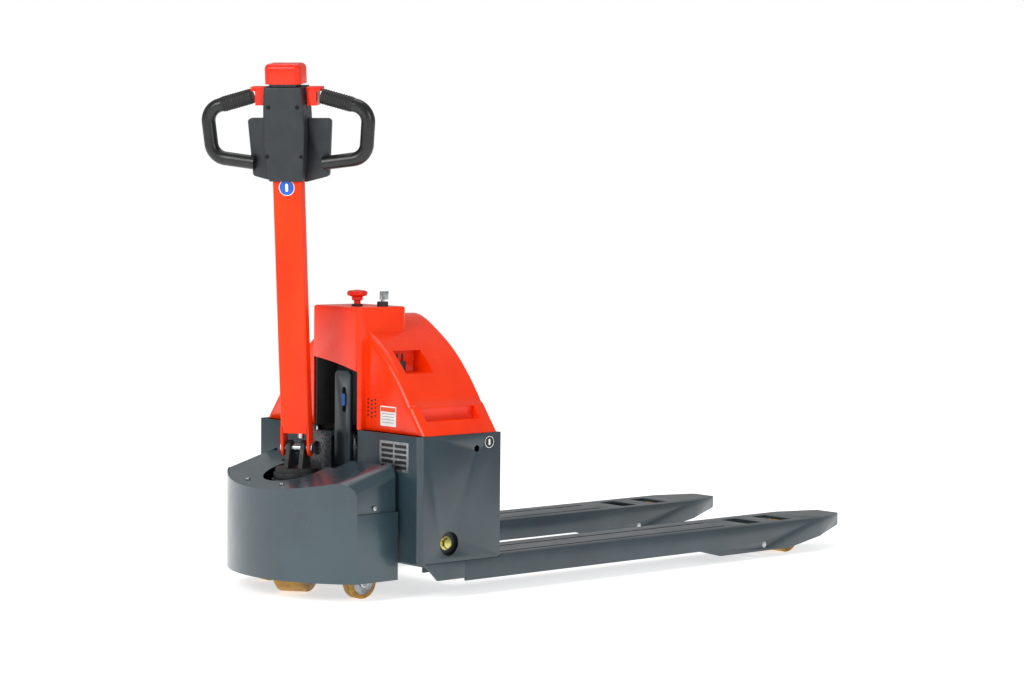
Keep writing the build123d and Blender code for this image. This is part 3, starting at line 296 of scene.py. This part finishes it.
# ---------------------------------------------------------------- tiller
# Rectangular welded steel tube with side ears, powder coated orange-red.
orange_paint = surface("orange_powder_coat", "#F03200", "#F83A00", 110, 1.8, 0.04, 0.3, 0.4,
                       Specular_IOR_Level=0.25)
finished("tiller_column", 1.0, orange_paint)

# Head mouldings: charcoal glass-filled nylon with a light erosion texture.
head_nylon = surface("charcoal_glass_nylon", "#1B2126", "#22292E", 35, 1.1, 0.12, 0.42, 0.54)
for head_node in ("head_housing", "head_cover"):
    finished(head_node, 1.4, head_nylon)
for thumb_node in ("horn_button", "lift_button", "lower_button"):
    finished(thumb_node, 0.8, black_abs)

# Socket screws of the head: blackened steel, dull and dark.
black_steel = surface("blackened_screw_steel", "#08090A", "#121314", 4, 0.5, 0.02, 0.4, 0.55, Metallic=0.6)
finished("head_screws", 0.4, black_steel)

# Handle loops: black nylon bars, smoother and shinier than the head.
bar_nylon = surface("smooth_black_nylon", "#0E0F10", "#16181A", 30, 1.6, 0.04, 0.24, 0.36)
for bar_node in ("left_handle", "right_handle"):
    finished(bar_node, 0.8, bar_nylon, 60)
grip_rubber = surface("ribbed_grip_rubber", "#0B0C0C", "#151616", 12, 0.7, 0.06, 0.5, 0.66)
finished("handle_grips", 0.8, grip_rubber)

# Grip ribs: rings moulded round each grip at an even pitch, in the same rubber.


def ring_tree():
    """Geometry Nodes tree: rings of one radius along a line, square to it."""
    tree = bpy.data.node_groups.new("moulded_rings", "GeometryNodeTree")
    face = tree.interface
    face.new_socket("Geometry", in_out="OUTPUT", socket_type="NodeSocketGeometry")
    for name, kind in (("Start", "Vector"), ("End", "Vector"), ("Count", "Int"), ("Radius", "Float"),
                       ("Thickness", "Float"), ("Finish", "Material")):
        face.new_socket(name, in_out="INPUT", socket_type="NodeSocket" + kind)
    given = add_node(tree, "NodeGroupInput").outputs
    line = add_node(tree, "GeometryNodeCurvePrimitiveLine", {"Start": given["Start"], "End": given["End"]})
    points = add_node(tree, "GeometryNodeCurveToPoints", {
        "Curve": line.outputs["Curve"], "Count": given["Count"]})
    circle = add_node(tree, "GeometryNodeCurvePrimitiveCircle", {
        "Resolution": 40, "Radius": given["Radius"]})
    bead = add_node(tree, "GeometryNodeCurvePrimitiveCircle", {
        "Resolution": 8, "Radius": given["Thickness"]})
    ring = add_node(tree, "GeometryNodeCurveToMesh", {
        "Curve": circle.outputs["Curve"], "Profile Curve": bead.outputs["Curve"]})
    spread = add_node(tree, "GeometryNodeInstanceOnPoints", {
        "Points": points.outputs["Points"], "Instance": ring.outputs["Mesh"],
        "Rotation": points.outputs["Rotation"]})
    real = add_node(tree, "GeometryNodeRealizeInstances", {"Geometry": spread.outputs["Instances"]})
    finish = add_node(tree, "GeometryNodeSetMaterial", {
        "Geometry": real.outputs["Geometry"], "Material": given["Finish"]})
    add_node(tree, "NodeGroupOutput", {"Geometry": finish.outputs["Geometry"]})
    return tree


def separate_rods(node):
    """Corner points of each separate solid in a CAD piece."""
    shape = bmesh.new()
    shape.from_mesh(frame["nodes"][node].data)
    bmesh.ops.remove_doubles(shape, verts=shape.verts, dist=1e-5)
    left, rods = set(shape.verts), []
    while left:
        start = left.pop()
        group, queue = [start], [start]
        while queue:
            for edge in queue.pop().link_edges:
                for corner in edge.verts:
                    if corner in left:
                        left.remove(corner)
                        group.append(corner)
                        queue.append(corner)
        rods.append([corner.co.copy() for corner in group])
    shape.free()
    return rods


def rod_line(corners):
    """The two end centres and the outer radius of a rod, from its corner points."""
    middle = sum(corners, Vector()) / len(corners)
    far = max(corners, key=lambda c: (c - middle).length)
    first = [c for c in corners if (c - far).length < (c - (2 * middle - far)).length]
    last = [c for c in corners if c not in first]
    ends = [sum(group, Vector()) / len(group) for group in (first, last)]
    axis = (ends[1] - ends[0]).normalized()
    radius = max(((c - ends[0]) - axis * (c - ends[0]).dot(axis)).length for c in corners)
    return ends[0], ends[1], radius


rib_pitch = 5.0 * MM
rib_height = 0.9 * MM
grip_end = 6 * MM
rings = ring_tree()
for number, rod in enumerate(separate_rods("handle_grips")):
    one_end, other_end, rod_r = rod_line(rod)
    along = (other_end - one_end).normalized()
    length = (other_end - one_end).length - 2 * grip_end
    ribs = grown(rings, {
        "Start": one_end + along * grip_end, "End": other_end - along * grip_end,
        "Count": int(length / rib_pitch), "Radius": rod_r, "Thickness": rib_height, "Finish": grip_rubber},
        "grip_ribs_" + str(number + 1), "tiller")

# ---------------------------------------------------------------- plates and stickers
# Plain plates with no lettering: a metal data plate and printed vinyl stickers, each a
# thin sheet that stands a fraction of a millimetre off the paint.


def plate(name, centre, right, up, width, height, corner, finish, body, thick=0.5):
    """Thin rounded plate, centred on a point, spanned by two directions. Sizes in mm."""
    shape = bmesh.new()
    across, upward = right.normalized(), up.normalized()
    out = across.cross(upward)
    rim = []
    for turn in range(32):
        angle = (turn + 0.5) * math.tau / 32
        x = math.copysign(width / 2 - corner, math.cos(angle)) + corner * math.cos(angle)
        y = math.copysign(height / 2 - corner, math.sin(angle)) + corner * math.sin(angle)
        rim.append(shape.verts.new(centre + (across * x + upward * y) * MM))
    face = shape.faces.new(rim)
    raised = bmesh.ops.extrude_face_region(shape, geom=[face])
    moved = [item for item in raised["geom"] if isinstance(item, bmesh.types.BMVert)]
    bmesh.ops.translate(shape, verts=moved, vec=out * thick * MM)
    bmesh.ops.recalc_face_normals(shape, faces=shape.faces)
    mesh = bpy.data.meshes.new(name)
    shape.to_mesh(mesh)
    shape.free()
    raw = bpy.data.objects.new("raw", mesh)
    bpy.context.scene.collection.objects.link(raw)
    piece = settle(raw, name, body, finish)
    return piece


white_vinyl = surface("white_vinyl", "#E2E3E2", "#EFEFED", 18, 1.2, 0.02, 0.35, 0.5)
grey_ink = surface("grey_print", "#8E9193", "#A4A7A9", 6, 0.8, 0.01, 0.4, 0.5)
orange_ink = surface("orange_print", "#E24A12", "#EA5820", 12, 0.8, 0.01, 0.35, 0.5)
blue_ink = surface("blue_print", "#0F52B8", "#1660C8", 12, 0.8, 0.01, 0.3, 0.45)
black_ink = surface("black_print", "#0C0D0E", "#141617", 12, 0.8, 0.01, 0.3, 0.45)
data_metal = surface("brushed_plate_aluminium", "#8D9295", "#B5B9BB", 7, 0.5, 0.02, 0.28, 0.4, Metallic=0.9)

up_z = Vector((0, 0, 1))
to_left = Vector((0, -1, 0))
box_low, box_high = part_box("battery_box")
hood_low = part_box("hood")[0]

# Data plate on the box's front panel, with plain dark fields and light bars.
plate_at = Vector((box_low.x - 0.1 * MM, box_low.y + 84 * MM, box_high.z - 46 * MM))
plate("data_plate", plate_at, to_left, up_z, 96, 62, 3, data_metal, "fork_frame")
for row in range(5):
    for column in range(2):
        field = plate_at + Vector((-0.6 * MM, (22 - 44 * column) * MM, (22 - 11 * row) * MM))
        plate("data_field_%d_%d" % (row + 1, column + 1), field, to_left, up_z, 38, 7, 1, black_ink,
              "fork_frame", 0.3)

# Printed notice on the hood's front, white with an orange head and grey bars.
notice_x = hood_low.x + 20 * MM
notice_at = Vector((notice_x - 0.15 * MM, -158 * MM, 377 * MM))
plate("notice", notice_at, to_left, up_z, 52, 42, 2, white_vinyl, "fork_frame")
plate("notice_head", notice_at + Vector((-0.6 * MM, 0, 14 * MM)), to_left, up_z, 48, 9, 1, orange_ink,
      "fork_frame", 0.2)
for row in range(4):
    bar = notice_at + Vector((-0.6 * MM, 0, (5 - 6 * row) * MM))
    plate("notice_bar_%d" % (row + 1), bar, to_left, up_z, 42 - 5 * (row % 2), 1.6, 0.6, grey_ink,
          "fork_frame", 0.2)

# Round black sticker on the box's flank, with a plain white ring.
flank_right = Vector((1, 0, 0))
badge_at = Vector((box_high.x - 32 * MM, box_low.y - 0.05 * MM, box_high.z - 20 * MM))
film = 0.1
layer = Vector((0, -film * MM, 0))
plate("lift_badge", badge_at, flank_right, up_z, 30, 30, 14.9, black_ink, "fork_frame",
      film)
plate("lift_badge_ring", badge_at + layer, flank_right, up_z, 25, 25, 12.4, white_vinyl,
      "fork_frame", film)
plate("lift_badge_disc", badge_at + 2 * layer, flank_right, up_z, 22.5, 22.5, 11.2, black_ink,
      "fork_frame", film)
plate("lift_badge_mark", badge_at + 3 * layer, flank_right, up_z, 5, 13, 2.4, white_vinyl,
      "fork_frame", film)

# Vent holes in the hood's front: thin black discs in a small staggered field, painted shade standing in for
# the dark mouths of the holes.
for row in range(5):
    for column in range(3):
        vent_y = -(90 + 12 * column) * MM
        vent_z = (409 - 8.5 * row - 3 * (column % 2)) * MM
        spot = Vector((notice_x - 0.1 * MM, vent_y, vent_z))
        # Painted shade: the black ink here stands for the shade inside each vent hole, not for print.
        plate("vent_%d_%d" % (row + 1, column + 1), spot, to_left, up_z, 5, 5, 2.4, black_ink,
              "fork_frame", 0.2)

# Round blue sticker near the top of the tiller column.
tilt = next(joint for joint in frame["joints"] if joint["name"] == "tiller_tilt")
pivot = Vector(tilt["pos_m"])
left_hand = -Vector(tilt["axis"])
lean = math.radians(7)     # the column leans forward, over the bumper
badge_height = 0.555
column_half = 16.05 * MM
level_way = left_hand.cross(up_z)
column_up = (up_z * math.cos(lean) - level_way * math.sin(lean)).normalized()
column_out = (level_way * math.cos(lean) + up_z * math.sin(lean)).normalized()
disc_at = pivot + column_up * badge_height - column_out * column_half
facing = -left_hand
plate("column_badge", disc_at, facing, column_up, 34, 34, 16.9, white_vinyl, "tiller", 0.3)
plate("column_badge_face", disc_at - column_out * 0.3 * MM, facing, column_up, 31, 31, 15.4, blue_ink,
      "tiller", 0.2)
plate("column_badge_mark", disc_at - column_out * 0.5 * MM, facing, column_up, 6, 17, 2.9, white_vinyl,
      "tiller", 0.2)

# ---------------------------------------------------------------- mast marker
# Blue nylon slide pad that shows through the slot of the mast plate.
mast_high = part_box("drive_frame")[1]
pad_blue = surface("blue_nylon_pad", "#1450A8", "#1C5FBE", 10, 0.8, 0.03, 0.4, 0.5)
pad_at = Vector((box_low.x + 9.5 * MM, -14 * MM, mast_high.z - 62 * MM))
plate("mast_pad", pad_at, to_left, up_z, 11, 26, 3, pad_blue, "drive_chassis", 2.0)

# ---------------------------------------------------------------- box fastenings
# A yellow-passivated hexagonal head with its washer, deep in each round port of the box.
yellow_zinc = surface("yellow_passivated_zinc", "#A8A25A", "#CFC77C", 5, 0.7, 0.03, 0.26, 0.4, Metallic=0.95)
bolt_r, bolt_depth = 11 * MM, 7 * MM
washer_r, washer_depth = 15 * MM, 2 * MM
for side, sign in (("left", 1), ("right", -1)):
    shape = bmesh.new()
    bmesh.ops.create_cone(shape, cap_ends=True, segments=6, radius1=bolt_r, radius2=bolt_r, depth=bolt_depth)
    washer = bmesh.ops.create_cone(shape, cap_ends=True, segments=32, radius1=washer_r, radius2=washer_r,
                                   depth=washer_depth)
    bmesh.ops.translate(shape, verts=washer["verts"], vec=(0, 0, -4.5 * MM))
    turn = Matrix.Rotation(math.radians(-90 * sign), 4, "X")
    seat = Matrix.Translation((box_high.x - 140 * MM, sign * (box_high.y - 8 * MM), 116 * MM))
    bmesh.ops.transform(shape, matrix=seat @ turn, verts=shape.verts)
    mesh = bpy.data.meshes.new("port_bolt")
    shape.to_mesh(mesh)
    shape.free()
    raw = bpy.data.objects.new("raw", mesh)
    bpy.context.scene.collection.objects.link(raw)
    edge = raw.modifiers.new("edge", "BEVEL")
    edge.width = 0.7 * MM
    edge.segments = 2
    settle(raw, side + "_port_bolt", "fork_frame", yellow_zinc)

# ---------------------------------------------------------------- floor, light and camera
# A seamless white sweep, lit by large soft boxes.
floor_mesh = bpy.data.meshes.new("floor")
floor_half = 60.0
floor_corners = [(x * floor_half, y * floor_half, 0) for x, y in ((-1, -1), (1, -1), (1, 1), (-1, 1))]
floor_mesh.from_pydata(floor_corners, [], [(0, 1, 2, 3)])
floor = bpy.data.objects.new("floor", floor_mesh)
floor_finish = surface("pale_floor", "#F6F6F6", "#FCFCFC", 400, 30, 0.01, 0.7, 0.8,
                       Emission_Color=srgb("#FFFFFF"), Emission_Strength=0.64)
floor_mesh.materials.append(floor_finish)
bpy.context.scene.collection.objects.link(floor)

world = bpy.data.worlds.new("studio")
world.use_nodes = True
sky = world.node_tree.nodes["Background"]
rays = add_node(world.node_tree, "ShaderNodeLightPath")
brightness = add_node(world.node_tree, "ShaderNodeMapRange", {
    "Value": rays.outputs["Is Camera Ray"], "To Min": 0.4, "To Max": 1.0})
world.node_tree.links.new(brightness.outputs["Result"], sky.inputs["Strength"])
sky.inputs["Color"].default_value = srgb("#FFFFFF")
bpy.context.scene.world = world
bpy.context.scene.view_settings.view_transform = "Standard"


def soft_box(name, place, target, size, power):
    """Square area light aimed at a point."""
    lamp = bpy.data.lights.new(name, "AREA")
    lamp.size = size
    lamp.energy = power
    light = bpy.data.objects.new(name, lamp)
    light.location = place
    light.rotation_euler = (Vector(target) - Vector(place)).to_track_quat("-Z", "Y").to_euler()
    bpy.context.scene.collection.objects.link(light)


soft_box("key", (-3.6, -0.6, 2.2), (-0.6, 0, 0.4), 1.6, 55)
soft_box("side", (-0.6, -3.6, 1.6), (-0.3, 0, 0.3), 1.2, 26)
soft_box("top", (-0.2, 0.4, 4.0), (0, 0, 0), 3.0, 45)

camera = bpy.data.objects.new("camera", bpy.data.cameras.new("camera"))
camera.data.lens = 88.95
camera.data.sensor_width = 36
camera.data.clip_end = 300
yaw, pitch, roll = math.radians(48.43), math.radians(-3.33), math.radians(0.58)
aim = Vector((math.cos(pitch) * math.cos(yaw), math.cos(pitch) * math.sin(yaw), math.sin(pitch)))
level = aim.to_track_quat("-Z", "Y").to_matrix()
stand = Matrix.Translation((-3.848, -4.289, 0.845))
camera.matrix_world = stand @ (level @ Matrix.Rotation(roll, 3, "Z")).to_4x4()
bpy.context.scene.collection.objects.link(camera)
bpy.context.scene.camera = camera
